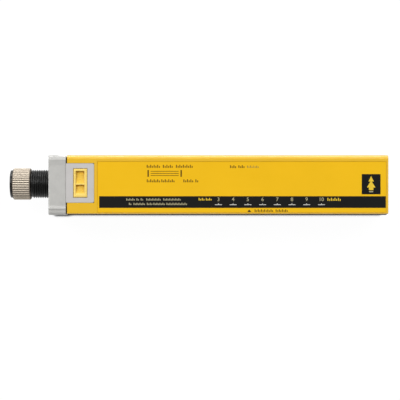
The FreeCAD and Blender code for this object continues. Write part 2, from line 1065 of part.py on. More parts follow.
def make_connector_insert():
    """The moulded insert that holds the pins, with its keyway along the back side."""
    radius = socket_bore_radius - insert_gap
    insert = rod(-insert_face, insert_back, radius, connector_offset)
    keyway = rod(-insert_face - overshoot, -insert_face + key_depth, key_radius, connector_offset + radius)
    insert = insert.cut(keyway)
    x0 = -insert_face - overshoot
    x1 = insert_back + overshoot
    for y, h in pin_places():
        insert = insert.cut(rod(x0, x1, pin_radius + pin_gap, y, h))
    return insert


def make_contact_pins():
    """The pins: straight bars with pointed tips, standing on the connector's board."""
    pins = []
    tip = insert_face + pin_reach
    for y, h in pin_places():
        bar = rod(-tip + pin_tip, insert_back, pin_radius, y, h)
        point = Part.makeCone(
            pin_tip_radius, pin_radius, pin_tip, Vector(-tip, y, h), Vector(1, 0, 0)
        )
        pins.append(bar.fuse(point).removeSplitter())
    return pins


def make_barrel_seal():
    """The rubber ring in the barrel's groove, against the cap's bore."""
    centre_radius = cap_bore_radius - seal_ring_radius - seal_ring_gap
    middle = seal_groove_start + seal_groove_width / 2
    return Part.makeTorus(
        centre_radius, seal_ring_radius, Vector(middle, connector_offset, 0), Vector(1, 0, 0)
    )


def make_barrel_nut():
    """The six-sided nut that locks the barrel from inside the cap."""
    nut_end = cap_end_wall + nut_thickness
    nut = hexagon(cap_end_wall, nut_end, nut_corner, connector_offset, 0.0)
    bore = barrel_tail_radius + nut_gap
    return nut.cut(rod(cap_end_wall - overshoot, nut_end + overshoot, bore, connector_offset))


def make_connector_board():
    """The round board on the insert's back, where the pins end."""
    radius = socket_bore_radius - insert_gap
    return rod(insert_back, connector_board_back, radius, connector_offset)


def plate_section(x0, x1, gap):
    """A sheet that fits the rebate at the far end, open where the nut slot runs out."""
    reach_y = plate_half_depth - gap
    reach_h = plate_half_height - gap
    sheet = block(x0, x1, -reach_y, reach_y, -reach_h, reach_h)
    return sheet.cut(along_case(slot_outline(), x0 - overshoot, x1 + overshoot))


def make_end_plate():
    """The plate that closes the far end, with two tapped bosses for a bracket."""
    plate = plate_section(plate_start, plate_outer, plate_gap)
    for h in (-plate_hole_h, plate_hole_h):
        plate = plate.fuse(rod(plate_start - boss_length, plate_start + joint_overlap, boss_radius, 0.0, h))
    plate = plate.removeSplitter()
    for h in (-plate_hole_h, plate_hole_h):
        plate = plate.cut(
            rod(plate_start - boss_length - overshoot, plate_outer + overshoot, bracket_hole_radius, 0.0, h)
        )
    x0 = plate_start - overshoot
    x1 = plate_outer + overshoot
    for h in (-port_h, port_h):
        plate = plate.cut(rod(x0, x1, clearance_hole_radius, port_y, h))
        plate = plate.cut(rod(plate_outer - plate_head_depth, x1, head_hole_radius, port_y, h))
    return plate


def make_end_plate_gasket():
    """The gasket under the end plate."""
    sheet = plate_section(rebate_start, plate_start, plate_gap)
    x0 = rebate_start - overshoot
    x1 = plate_start + overshoot
    for h in (-plate_hole_h, plate_hole_h):
        sheet = sheet.cut(rod(x0, x1, boss_radius + plate_gap, 0.0, h))
    for h in (-port_h, port_h):
        sheet = sheet.cut(rod(x0, x1, clearance_hole_radius, port_y, h))
    return sheet


def plate_screw(h):
    """A low head screw through the end plate into the case."""
    head_start = plate_outer - plate_head_depth
    screw = rod(head_start, plate_outer - head_sink, head_radius, port_y, h)
    screw = screw.fuse(rod(rebate_start - screw_grip, head_start + joint_overlap, screw_radius, port_y, h))
    recess_start = plate_outer - head_sink - plate_head_depth / 2
    screw = screw.cut(hexagon(recess_start, plate_outer + overshoot, socket_radius, port_y, h))
    return screw.removeSplitter()


def make_end_plate_screws():
    """Both screws of the end plate."""
    return [plate_screw(-port_h), plate_screw(port_h)]


PIECES = {
    "housing": make_housing,
    "side_label": make_side_label,
    "end_cap": make_end_cap,
    "end_cap_gasket": make_end_cap_gasket,
    "end_cap_screws": make_end_cap_screws,
    "port_frame": make_port_frame,
    "port_cover": make_port_cover,
    "port_socket": make_port_socket,
    "port_contacts": make_port_contacts,
    "port_board": make_port_board,
    "front_window": make_front_window,
    "window_seals": make_window_seals,
    "optics_carrier": make_optics_carrier,
    "lens_strip": make_lens_strip,
    "emitter_board": make_emitter_board,
    "infrared_diodes": make_infrared_diodes,
    "indicator_lamps": make_indicator_lamps,
    "light_guide": make_light_guide,
    "control_board": make_control_board,
    "insulating_sheet": make_insulating_sheet,
    "board_headers": make_board_headers,
    "board_parts": make_board_parts,
    "flex_cable": make_flex_cable,
    "connector_barrel": make_connector_barrel,
    "connector_nose": make_connector_nose,
    "coupling_ring": make_coupling_ring,
    "connector_insert": make_connector_insert,
    "contact_pins": make_contact_pins,
    "barrel_seal": make_barrel_seal,
    "barrel_nut": make_barrel_nut,
    "connector_board": make_connector_board,
    "end_plate": make_end_plate,
    "end_plate_gasket": make_end_plate_gasket,
    "end_plate_screws": make_end_plate_screws,
}


def main():
    """Build every piece, move it into the part's frame and write it."""
    os.makedirs("parts", exist_ok=True)
    to_frame = Vector(cap_face_x, 0, half_height)
    for name, make in PIECES.items():
        shape = make()
        if isinstance(shape, list):
            shape = Part.makeCompound(shape)
        shape.translate(to_frame)
        shape.exportStep("parts/" + name + ".step")
        box = shape.BoundBox
        print(
            name,
            len(shape.Solids),
            shape.isValid(),
            round(shape.Volume, 2),
            [round(value, 2) for value in (box.XMin, box.XMax, box.YMin, box.YMax, box.ZMin, box.ZMax)],
        )


main()
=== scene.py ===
"""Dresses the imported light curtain: finishes, printed label, threaded connector and studio."""

import logging
import math
from contextlib import contextmanager
from dataclasses import dataclass
from enum import Enum
from typing import Callable, Iterator

import bmesh
import bpy
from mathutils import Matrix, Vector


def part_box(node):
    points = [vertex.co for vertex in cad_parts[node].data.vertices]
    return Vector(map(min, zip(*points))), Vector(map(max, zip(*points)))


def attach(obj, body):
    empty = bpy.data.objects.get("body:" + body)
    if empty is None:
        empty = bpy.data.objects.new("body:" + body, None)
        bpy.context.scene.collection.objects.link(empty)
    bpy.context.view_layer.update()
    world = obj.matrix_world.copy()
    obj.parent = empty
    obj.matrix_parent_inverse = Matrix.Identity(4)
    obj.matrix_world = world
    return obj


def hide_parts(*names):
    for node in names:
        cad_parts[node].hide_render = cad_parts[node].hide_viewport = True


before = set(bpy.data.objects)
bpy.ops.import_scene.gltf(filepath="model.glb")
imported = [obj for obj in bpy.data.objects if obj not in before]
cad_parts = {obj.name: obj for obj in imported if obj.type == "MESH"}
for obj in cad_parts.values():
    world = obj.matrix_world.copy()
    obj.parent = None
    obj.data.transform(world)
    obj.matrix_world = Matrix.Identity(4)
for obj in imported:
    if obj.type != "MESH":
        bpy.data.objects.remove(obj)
LOG = logging.getLogger("light_curtain")
MM = 0.001
SAME_PLACE = 1e-6
MERGE_DISTANCE = 1e-7
RIM_MARGIN = 0.01 * MM
SMOOTH_ANGLE = math.radians(32)
TRIANGLE_HALF_WIDTH = math.cos(math.radians(30))
TRIANGLE_HEIGHT = 1.5
Colour = tuple[float, float, float]
Point = tuple[float, float, float]
Area = tuple[float, float, float, float]
Piece = bpy.types.Object
Material = bpy.types.Material
Socket = bpy.types.NodeSocket


class Body(Enum):
    """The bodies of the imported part."""

    UNIT = "unit"
    RING = "ring"


class Pick(Enum):
    """The kinds of mesh element that can be picked in edit mode."""

    POINTS = "VERT"
    EDGES = "EDGE"
    FACES = "FACE"


def from_screen(red: int, green: int, blue: int) -> Colour:
    """Turn a screen colour into a linear one, by the sRGB curve.

    Args:
        red: Red from 0 to 255.
        green: Green from 0 to 255.
        blue: Blue from 0 to 255.

    Returns:
        The linear colour.
    """
    linear = []
    for part in (red, green, blue):
        value = part / 255
        linear.append(value / 12.92 if value <= 0.04045 else ((value + 0.055) / 1.055) ** 2.4)
    return linear[0], linear[1], linear[2]


def grey(value: float) -> tuple[float, float, float, float]:
    """Give an opaque grey; 1 is white."""
    return value, value, value, 1.0


def shaded(colour: Colour, factor: float) -> Colour:
    """Make a colour lighter or darker.

    Args:
        colour: The colour.
        factor: How many times as light it becomes.

    Returns:
        The new colour.
    """
    parts = [min(part * factor, 1.0) for part in colour]
    return parts[0], parts[1], parts[2]


class Tree:
    """A node tree, with short calls for the nodes that the finishes and the studio share."""

    def __init__(self, owner: Material | bpy.types.World) -> None:
        """Start an empty tree.

        Args:
            owner: The material or world that holds the tree.
        """
        owner.use_nodes = True
        self.tree = owner.node_tree
        self.tree.nodes.clear()

    def add(self, kind: str) -> bpy.types.Node:
        """Add one node of a kind."""
        return self.tree.nodes.new(kind)

    def link(self, source: Socket, target: Socket) -> None:
        """Join two sockets."""
        self.tree.links.new(source, target)

    def part(self, vector: Socket, axis: str) -> Socket:
        """Take one part of a vector.

        Args:
            vector: The vector.
            axis: The part's name: X, Y or Z.

        Returns:
            That part.
        """
        parts = self.add("ShaderNodeSeparateXYZ")
        self.link(vector, parts.inputs["Vector"])
        return parts.outputs[axis]

    def span(
        self, source: Socket, low: float, high: float, start: float = 0.3, end: float = 0.7
    ) -> Socket:
        """Map a value onto a range.

        Args:
            source: The value to map.
            low: The result at the start.
            high: The result at the end.
            start: The value that gives the low result.
            end: The value that gives the high result.

        Returns:
            The mapped value.
        """
        node = self.add("ShaderNodeMapRange")
        node.inputs["From Min"].default_value = start
        node.inputs["From Max"].default_value = end
        node.inputs["To Min"].default_value = low
        node.inputs["To Max"].default_value = high
        self.link(source, node.inputs["Value"])
        return node.outputs["Result"]

    def combine(
        self, operation: str, first: Socket, second: Socket, clamp: bool = False
    ) -> Socket:
        """Combine two values.

        Args:
            operation: The name of the operation.
            first: The first value.
            second: The second value.
            clamp: Whether the result is held between 0 and 1.

        Returns:
            The result.
        """
        node = self.add("ShaderNodeMath")
        node.operation = operation
        node.use_clamp = clamp
        self.link(first, node.inputs[0])
        self.link(second, node.inputs[1])
        return node.outputs[0]


class Recipe(Tree):
    """The node tree of one material, round a Principled shader."""

    bevel_samples: int = 6
    sharp_turn: float = 0.75
    flat_turn: float = 0.97

    def __init__(self, name: str) -> None:
        """Start a material.

        Args:
            name: The material's name.
        """
        self.material = bpy.data.materials.new(name)
        super().__init__(self.material)
        self.output = self.add("ShaderNodeOutputMaterial")
        self.shader = self.add("ShaderNodeBsdfPrincipled")
        self.link(self.shader.outputs["BSDF"], self.output.inputs["Surface"])
        self.place = self.add("ShaderNodeTexCoord").outputs["Object"]

    def mapped(self, scale: Point, shift: Point = (0.0, 0.0, 0.0)) -> Socket:
        """Scale the object coordinates and shift them.

        Args:
            scale: The scale along each axis.
            shift: The shift that follows.

        Returns:
            The new coordinates.
        """
        mapping = self.add("ShaderNodeMapping")
        mapping.inputs["Location"].default_value = shift
        mapping.inputs["Scale"].default_value = scale
        self.link(self.place, mapping.inputs["Vector"])
        return mapping.outputs["Vector"]

    def noise(
        self, grain_mm: float, detail: float = 2.0, stretch: Point = (1.0, 1.0, 1.0)
    ) -> Socket:
        """Add noise on object coordinates.

        Args:
            grain_mm: The size of one grain in millimetres.
            detail: How many finer octaves are added.
            stretch: How many times longer a grain is along each axis.

        Returns:
            The noise's factor.
        """
        x, y, z = (1 / (grain_mm * MM * part) for part in stretch)
        noise = self.add("ShaderNodeTexNoise")
        noise.inputs["Scale"].default_value = 1.0
        noise.inputs["Detail"].default_value = detail
        self.link(self.mapped((x, y, z)), noise.inputs["Vector"])
        return noise.outputs["Fac"]

    def mix(self, factor: Socket, first: Socket | Colour, second: Socket | Colour) -> Socket:
        """Mix two colours or colour sockets.

        Args:
            factor: The share of the second colour.
            first: The first colour or socket.
            second: The second colour or socket.

        Returns:
            The mixed colour.
        """
        node = self.add("ShaderNodeMix")
        node.data_type = "RGBA"
        self.link(factor, node.inputs["Factor"])
        for name, colour in (("A", first), ("B", second)):
            socket = [item for item in node.inputs if (item.name, item.type) == (name, "RGBA")][0]
            if isinstance(colour, tuple):
                socket.default_value = (*colour, 1.0)
            else:
                self.link(colour, socket)
        return [item for item in node.outputs if item.type == "RGBA"][0]

    def rounded(self, radius_mm: float) -> Socket:
        """Add a normal that rounds the sharp edges.

        Args:
            radius_mm: The radius of the rounding in millimetres.

        Returns:
            The rounded normal.
        """
        node = self.add("ShaderNodeBevel")
        node.samples = self.bevel_samples
        node.inputs["Radius"].default_value = radius_mm * MM
        return node.outputs["Normal"]

    def edge_mask(self, radius_mm: float) -> Socket:
        """Add a mask that is 1 along sharp edges.

        Args:
            radius_mm: How far the mask reaches in millimetres.

        Returns:
            The mask.
        """
        geometry = self.add("ShaderNodeNewGeometry")
        dot = self.add("ShaderNodeVectorMath")
        dot.operation = "DOT_PRODUCT"
        self.link(self.rounded(radius_mm), dot.inputs[0])
        self.link(geometry.outputs["True Normal"], dot.inputs[1])
        return self.span(dot.outputs["Value"], 1.0, 0.0, self.sharp_turn, self.flat_turn)

    def bump(self, height: Socket, depth_mm: float, normal: Socket) -> Socket:
        """Add relief to a normal.

        Args:
            height: The relief, from 0 to 1.
            depth_mm: How deep the relief is in millimetres.
            normal: The normal that it is added to.

        Returns:
            The new normal.
        """
        node = self.add("ShaderNodeBump")
        node.inputs["Strength"].default_value = 1.0
        node.inputs["Distance"].default_value = depth_mm * MM
        self.link(height, node.inputs["Height"])
        self.link(normal, node.inputs["Normal"])
        return node.outputs["Normal"]


@dataclass(frozen=True)
class Finish:
    """A surface with its own tone, grain and gloss, with paler sharp edges that are partly scuffs
    and partly a painted highlight, and rims that may carry a painted highlight.
    """

    name: str
    colour: Colour
    roughness: float = 0.5
    metallic: float = 0.0
    specular: float = 0.5
    coat: float = 0.0
    coat_roughness: float = 0.12
    coat_ior: float = 1.5
    transmission: float = 0.0
    ior: float = 1.5
    tone_mm: float = 12.0
    tone_spread: float = 0.06
    gloss_spread: float = 0.08
    lowest_roughness: float = 0.03
    grain_mm: float = 0.5
    grain_depth_mm: float = 0.004
    grain_stretch: Point = (1.0, 1.0, 1.0)
    fine_share: float = 0.5
    edge_mm: float = 0.12
    scuff_and_highlight: float = 0.0
    scuff_and_highlight_mm: float = 0.7
    scuff_and_highlight_starts: float = 0.42
    scuff_and_highlight_is_full: float = 0.66
    scuff_and_highlight_colour: Colour = (0.8, 0.8, 0.78)
    rim_height: float = 0.0
    rim_fade: float = 0.01 * MM
    rim_highlight_colour: Colour = (0.8, 0.8, 0.78)

    def build(self) -> Material:
        """Make the material.

        Returns:
            The finished material.
        """
        recipe = Recipe(self.name)
        settings = {
            "Metallic": self.metallic, "Specular IOR Level": self.specular, "IOR": self.ior,
            "Coat Weight": self.coat, "Coat Roughness": self.coat_roughness,
            "Coat IOR": self.coat_ior, "Transmission Weight": self.transmission,
        }
        for name, value in settings.items():
            recipe.shader.inputs[name].default_value = value
        recipe.link(self.tone(recipe), recipe.shader.inputs["Base Color"])
        recipe.link(self.gloss(recipe), recipe.shader.inputs["Roughness"])
        recipe.link(self.relief(recipe), recipe.shader.inputs["Normal"])
        return recipe.material

    def tone(self, recipe: Recipe) -> Socket:
        """Add the colour: slow and fine variation, paler edges that are partly scuffs and partly
        painted highlight, and painted highlight on rims.

        Args:
            recipe: The node tree being filled.

        Returns:
            The colour.
        """
        light = shaded(self.colour, 1 + self.tone_spread / 2)
        dark = shaded(self.colour, 1 - self.tone_spread)
        slow = recipe.mix(recipe.span(recipe.noise(self.tone_mm, 3.0), 0.0, 1.0), dark, light)
        fine = recipe.noise(self.grain_mm * 2, 3.0, self.grain_stretch)
        colour = recipe.mix(recipe.span(fine, 0.0, self.fine_share), slow, self.colour)
        # Paler sharp edges broken by noise: partly scuffs, partly a painted highlight.
        if self.scuff_and_highlight > 0:
            breaks = recipe.span(recipe.noise(self.scuff_and_highlight_mm, 4.0), 0.0, self.scuff_and_highlight,
                                 self.scuff_and_highlight_starts, self.scuff_and_highlight_is_full)
            edges = recipe.edge_mask(self.edge_mm * 2)
            scuffed_and_lit = recipe.combine("MULTIPLY", edges, breaks, clamp=True)
            colour = recipe.mix(scuffed_and_lit, colour, self.scuff_and_highlight_colour)
        # Painted highlight: above the rim height the colour turns to the pale rim highlight
        # colour.
        if self.rim_height > 0:
            raised = recipe.span(recipe.part(recipe.place, "Z"), 0.0, 1.0,
                                 self.rim_height - self.rim_fade, self.rim_height)
            colour = recipe.mix(raised, colour, self.rim_highlight_colour)
        return colour

    def gloss(self, recipe: Recipe) -> Socket:
        """Add the roughness, which handling and moulding leave uneven.

        Args:
            recipe: The node tree being filled.

        Returns:
            The roughness.
        """
        low = max(self.roughness - self.gloss_spread, self.lowest_roughness)
        high = min(self.roughness + self.gloss_spread, 1.0)
        return recipe.span(recipe.noise(self.tone_mm / 4, 5.0, self.grain_stretch), low, high)

    def relief(self, recipe: Recipe) -> Socket:
        """Add rounded edges with the surface's own grain.

        Args:
            recipe: The node tree being filled.

        Returns:
            The normal.
        """
        grain = recipe.noise(self.grain_mm, 2.0, self.grain_stretch)
        return recipe.bump(grain, self.grain_depth_mm, recipe.rounded(self.edge_mm))


@dataclass(frozen=True)
class InkFinish(Finish):
    """Matt printing ink, too thin to have rounded edges."""

    roughness: float = 0.6
    specular: float = 0.08
    grain_mm: float = 0.12
    grain_depth_mm: float = 0.0012
    edge_mm: float = 0.01


@dataclass(frozen=True)
class PaintFinish(Finish):
    """Powder coat: the orange peel of the coat over the fine draw lines of the extrusion."""

    line_mm: float = 0.35
    line_stretch: Point = (120.0, 1.0, 1.0)
    line_depth_mm: float = 0.0008

    def relief(self, recipe: Recipe) -> Socket:
        """Add the draw lines under the orange peel.

        Args:
            recipe: The node tree being filled.

        Returns:
            The normal.
        """
        lines = recipe.noise(self.line_mm, 2.0, self.line_stretch)
        drawn = recipe.bump(lines, self.line_depth_mm, recipe.rounded(self.edge_mm))
        return recipe.bump(recipe.noise(self.grain_mm, 1.0), self.grain_depth_mm, drawn)


@dataclass(frozen=True)
class CastFinish(Finish):
    """Painted die casting: soft flow marks, fine grain and a few pits."""

    flow_mm: float = 5.0
    flow_depth_mm: float = 0.02
    pit_mm: float = 1.3
    pit_depth_mm: float = 0.006
    pit_starts: float = 0.68
    pit_is_full: float = 0.76

    def relief(self, recipe: Recipe) -> Socket:
        """Add flow marks, grain and pits.

        Args:
            recipe: The node tree being filled.

        Returns:
            The normal.
        """
        edges = recipe.rounded(self.edge_mm)
        flow = recipe.bump(recipe.noise(self.flow_mm, 3.0), self.flow_depth_mm, edges)
        grain = recipe.bump(recipe.noise(self.grain_mm, 3.0), self.grain_depth_mm, flow)
        pits = recipe.span(recipe.noise(self.pit_mm, 1.0), 1.0, 0.0,
                           self.pit_starts, self.pit_is_full)
        return recipe.bump(pits, self.pit_depth_mm, grain)


@dataclass(frozen=True)
class KnurlFinish(Finish):
    """Plated metal with painted shade that makes its flutes darker than its crests."""

    axis: tuple[float, float] = (0.0, 0.0)
    crest: float = 8.0 * MM
    depth: float = 0.4 * MM
    flute_shade_colour: Colour = (0.19, 0.16, 0.13)
    floor_share: float = 0.55
    rim_share: float = 0.06

    def tone(self, recipe: Recipe) -> Socket:
        """Paint shade that darkens the colour towards the bottom of the flutes.

        Args:
            recipe: The node tree being filled.

        Returns:
            The colour.
        """
        plated = super().tone(recipe)
        radius = recipe.add("ShaderNodeVectorMath")
        radius.operation = "LENGTH"
        centred = recipe.mapped((0.0, 1.0, 1.0), (0.0, -self.axis[0], -self.axis[1]))
        recipe.link(centred, radius.inputs[0])
        # Painted shade: the colour darkens from the crests to the flute floors, by distance from
        # the axis.
        deep = recipe.span(radius.outputs["Value"], 1.0, 0.0,
                           self.crest - self.depth * self.floor_share,
                           self.crest - self.depth * self.rim_share)
        return recipe.mix(deep, plated, self.flute_shade_colour)


@dataclass(frozen=True)
class BoardFinish(Finish):
    """A circuit board: solder resist over copper tracks."""

    cell_mm: Point = (3.0, 0.8, 0.8)
    cell_scale: float = 0.45
    track_core: float = 0.06
    track_edge: float = 0.09
    track_colour: Colour = (0.06, 0.25, 0.08)
    dark_colour: Colour = (0.0, 0.05, 0.02)
    dark_share: float = 0.4

    def tone(self, recipe: Recipe) -> Socket:
        """Add tracks that run in blocks along the board.

        Args:
            recipe: The node tree being filled.

        Returns:
            The colour.
        """
        x, y, z = (1 / (part * MM) for part in self.cell_mm)
        cells = recipe.add("ShaderNodeTexVoronoi")
        cells.feature = "DISTANCE_TO_EDGE"
        cells.inputs["Scale"].default_value = self.cell_scale
        recipe.link(recipe.mapped((x, y, z)), cells.inputs["Vector"])
        tracks = recipe.span(cells.outputs["Distance"], 1.0, 0.0, self.track_core, self.track_edge)
        blotches = recipe.span(recipe.noise(self.tone_mm), 0.0, self.dark_share)
        resist = recipe.mix(blotches, self.colour, self.dark_colour)
        return recipe.mix(tracks, resist, self.track_colour)


CAST_GREY = from_screen(193, 192, 188)
# How far below the label side the painted rim highlight begins, on the cover and on the cap.
COVER_RIM_DEPTH = 0.05 * MM
CAP_RIM_DEPTH = 0.002 * MM


def all_finishes(ring_axis: tuple[float, float], label_side: float) -> tuple[Finish, ...]:
    """Describe every finish on the part.

    Args:
        ring_axis: Where the ring's axis lies across the case and in height.
        label_side: The height of the rims on the label side.

    Returns:
        The finishes, each with its own name.
    """
    return (
        # The case paint's paler edge colour is partly a painted highlight.
        PaintFinish("case_paint", from_screen(241, 190, 22), 0.3, specular=0.9, coat=1.0,
                    coat_roughness=0.24, coat_ior=1.6, grain_mm=0.45, grain_depth_mm=0.0018,
                    tone_mm=30.0, tone_spread=0.03, gloss_spread=0.02, scuff_and_highlight=0.05,
                    scuff_and_highlight_colour=(0.80, 0.62, 0.25)),
        Finish("label_film", from_screen(240, 188, 27), 0.5, specular=0.08, grain_mm=0.12,
               grain_depth_mm=0.0012, tone_mm=22.0, tone_spread=0.035, edge_mm=0.05),
        # The cap's paler edges are partly a painted highlight; its pale rims are a painted
        # highlight.
        CastFinish("cap_casting", CAST_GREY, 0.36, specular=0.8, coat=1.0, coat_roughness=0.22,
                   grain_mm=0.25, grain_depth_mm=0.006, tone_mm=4.0, tone_spread=0.07,
                   edge_mm=0.7, scuff_and_highlight=0.35, scuff_and_highlight_colour=from_screen(226, 224, 219),
                   rim_height=label_side - CAP_RIM_DEPTH, rim_highlight_colour=from_screen(240, 239, 235)),
        Finish("frame_moulding", from_screen(196, 193, 191), 0.55, grain_mm=0.22,
               grain_depth_mm=0.006, tone_mm=5.0, tone_spread=0.05, edge_mm=0.15),
        # The cover's pale rims are a painted highlight.
        Finish("cover_moulding", from_screen(240, 196, 58), 0.3, grain_mm=0.2,
               grain_depth_mm=0.002, tone_mm=3.0, tone_spread=0.05, edge_mm=0.45, coat=0.8,
               rim_height=label_side - COVER_RIM_DEPTH, rim_fade=0.25 * MM,
               rim_highlight_colour=from_screen(255, 222, 118)),
        CastFinish("plate_casting", CAST_GREY, 0.5, grain_mm=0.25, grain_depth_mm=0.005,
                   tone_mm=6.0, edge_mm=0.2, scuff_and_highlight=0.2),
        Finish("black_moulding", from_screen(17, 17, 16), 0.34, specular=0.62, grain_mm=0.15,
               grain_depth_mm=0.002, tone_mm=3.0, tone_spread=0.2, scuff_and_highlight=0.12,
               scuff_and_highlight_colour=from_screen(96, 95, 92)),
        Finish("carrier_moulding", from_screen(30, 30, 31), 0.62, grain_mm=0.2,
               grain_depth_mm=0.008, tone_spread=0.2),
        Finish("rubber", from_screen(40, 38, 36), 0.8, specular=0.3, grain_mm=0.3,
               grain_depth_mm=0.01, tone_mm=2.0, tone_spread=0.25),
        Finish("zinc_steel", from_screen(196, 194, 186), 0.32, 1.0, grain_mm=0.2,
               grain_depth_mm=0.003, tone_mm=1.5, tone_spread=0.2, scuff_and_highlight=0.3),
        Finish("nut_nickel", from_screen(188, 176, 160), 0.4, 1.0, grain_mm=0.25,
               tone_mm=1.2, tone_spread=0.12),
        # The ring's dark flutes are painted shade.
        KnurlFinish("ring_nickel", from_screen(238, 225, 206), 0.62, 0.6, grain_mm=0.25,
                    grain_depth_mm=0.001, grain_stretch=(8.0, 1.0, 1.0), tone_mm=2.5,
                    gloss_spread=0.04, edge_mm=0.1, axis=ring_axis),
        Finish("contact_gold", from_screen(226, 184, 104), 0.22, 1.0, grain_mm=0.1,
               grain_depth_mm=0.001, tone_mm=0.8, tone_spread=0.1),
        BoardFinish("circuit_board", from_screen(18, 92, 48), 0.35, coat=0.4, tone_mm=6.0,
                    grain_mm=0.4),
        Finish("smoked_window", from_screen(44, 30, 17), 0.12, specular=0.2, transmission=0.5,
               ior=1.49, tone_mm=20.0, tone_spread=0.1, gloss_spread=0.03, grain_mm=6.0,
               grain_depth_mm=0.003, edge_mm=0.1),
        Finish("clear_moulding", from_screen(236, 240, 243), 0.1, transmission=0.9, ior=1.49,
               tone_spread=0.03, gloss_spread=0.04, grain_mm=1.5, grain_depth_mm=0.001,
               edge_mm=0.08),
        Finish("diode_resin", from_screen(46, 36, 62), 0.15, transmission=0.5, tone_mm=1.0,
               tone_spread=0.15, grain_depth_mm=0.001),
        Finish("lamp_resin", from_screen(238, 236, 220), 0.3, transmission=0.4, tone_mm=0.6,
               tone_spread=0.1, grain_mm=0.2, grain_depth_mm=0.001),
        Finish("insulating_sheet", from_screen(214, 206, 182), 0.45, transmission=0.2,
               grain_mm=0.4, grain_depth_mm=0.002, tone_spread=0.08),
        Finish("chip_resin", from_screen(34, 34, 36), 0.55, grain_mm=0.12,
               grain_depth_mm=0.005, tone_mm=1.5, tone_spread=0.2),
        Finish("flat_cable", from_screen(190, 104, 34), 0.3, coat=0.3, grain_mm=0.7,
               grain_stretch=(30.0, 1.0, 1.0), tone_mm=1.0, tone_spread=0.25),
        InkFinish("dark_ink", from_screen(27, 27, 26), tone_mm=8.0, tone_spread=0.15),
        InkFinish("brown_ink", from_screen(104, 78, 26), tone_mm=1.2, tone_spread=0.25),
        InkFinish("pale_ink", from_screen(172, 165, 132), tone_mm=1.2, tone_spread=0.2),
        InkFinish("bright_ink", from_screen(214, 212, 204), tone_mm=2.0, tone_spread=0.1),
        InkFinish("yellow_ink", from_screen(233, 196, 60), tone_mm=2.0, tone_spread=0.1),
        InkFinish("grey_ink", from_screen(180, 150, 66), 0.55, specular=0.1, grain_mm=0.3,
                  grain_depth_mm=0.001, tone_mm=0.9, tone_spread=0.35),
    )


NODES_IN_FINISH: dict[str, tuple[str, ...]] = {
    "case_paint": ("housing",),
    "label_film": ("side_label",),
    "cap_casting": ("end_cap",),
    "frame_moulding": ("port_frame",),
    "cover_moulding": ("port_cover",),
    "plate_casting": ("end_plate",),
    "black_moulding": ("connector_barrel", "connector_nose"),
    "carrier_moulding": ("port_socket", "optics_carrier", "board_headers"),
    "rubber": ("end_cap_gasket", "window_seals", "barrel_seal", "end_plate_gasket"),
    "zinc_steel": ("end_cap_screws", "end_plate_screws"),
    "nut_nickel": ("barrel_nut",),
    "ring_nickel": ("coupling_ring",),
    "contact_gold": ("port_contacts", "contact_pins"),
    "circuit_board": ("port_board", "emitter_board", "control_board", "connector_board"),
    "smoked_window": ("front_window",),
    "clear_moulding": ("lens_strip", "light_guide"),
    "diode_resin": ("infrared_diodes",),
    "lamp_resin": ("indicator_lamps",),
    "insulating_sheet": ("insulating_sheet",),
    "chip_resin": ("board_parts", "connector_insert"),
    "flat_cable": ("flex_cable",),
}


class Finishes:
    """Every finish on the part, each made once."""

    def __init__(self, ring_axis: tuple[float, float], label_side: float) -> None:
        """Make all the materials.

        Args:
            ring_axis: Where the ring's axis lies across the case and in height.
            label_side: The height of the rims on the label side.
        """
        described = all_finishes(ring_axis, label_side)
        self.materials = {finish.name: finish.build() for finish in described}

    def __getitem__(self, name: str) -> Material:
        """Give the material of a name."""
        return self.materials[name]

    def dress_nodes(self) -> None:
        """Give each node its finish."""
        for finish, names in NODES_IN_FINISH.items():
            for name in names:
                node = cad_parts[name]
                for place in node.material_slots:
                    place.material = self[finish]
                if not node.material_slots:
                    node.data.materials.append(self[finish])
                LOG.info("dressed %s in %s", name, finish)


def deselect() -> None:
    """Select nothing, so that the next operator acts on its own piece alone."""
    bpy.ops.object.select_all(action="DESELECT")


def only(*pieces: Piece) -> None:
    """Select only some pieces.

    Args:
        *pieces: The pieces, with the active one first.
    """
    deselect()
    for piece in pieces:
        piece.select_set(True)
    bpy.context.view_layer.objects.active = pieces[0]


@contextmanager
def editing(piece: Piece, kind: Pick = Pick.POINTS) -> Iterator[None]:
    """Hold a piece in edit mode with nothing selected.

    Args:
        piece: The piece to edit.
        kind: What is picked.

    Yields:
        Nothing, while edit mode is on.
    """
    only(piece)
    bpy.ops.object.mode_set(mode="EDIT")
    bpy.ops.mesh.select_mode(type=kind.value)
    bpy.ops.mesh.select_all(action="DESELECT")
    yield
    bpy.ops.object.mode_set(mode="OBJECT")


def pick(piece: Piece, kind: Pick, wanted: Callable[..., bool]) -> None:
    """Select the points, edges or faces that pass a test, and nothing else.

    Args:
        piece: The piece in edit mode.
        kind: What is picked.
        wanted: The test.
    """
    bpy.ops.mesh.select_mode(type=kind.value)
    bpy.ops.mesh.select_all(action="DESELECT")
    mesh = bmesh.from_edit_mesh(piece.data)
    items = {Pick.POINTS: mesh.verts, Pick.EDGES: mesh.edges, Pick.FACES: mesh.faces}[kind]
    for item in items:
        if wanted(item):
            item.select_set(True)
    mesh.select_flush_mode()
    bmesh.update_edit_mesh(piece.data)


def settle(piece: Piece, name: str = "") -> Piece:
    """Move a piece's place into its mesh, so that the object sits at the origin.

    Args:
        piece: The piece.
        name: Its new name, if it gets one.

    Returns:
        The piece.
    """
    only(piece)
    bpy.ops.object.transform_apply(location=True, rotation=True, scale=True)
    if name:
        piece.name = name
        piece.data.name = name
    return piece


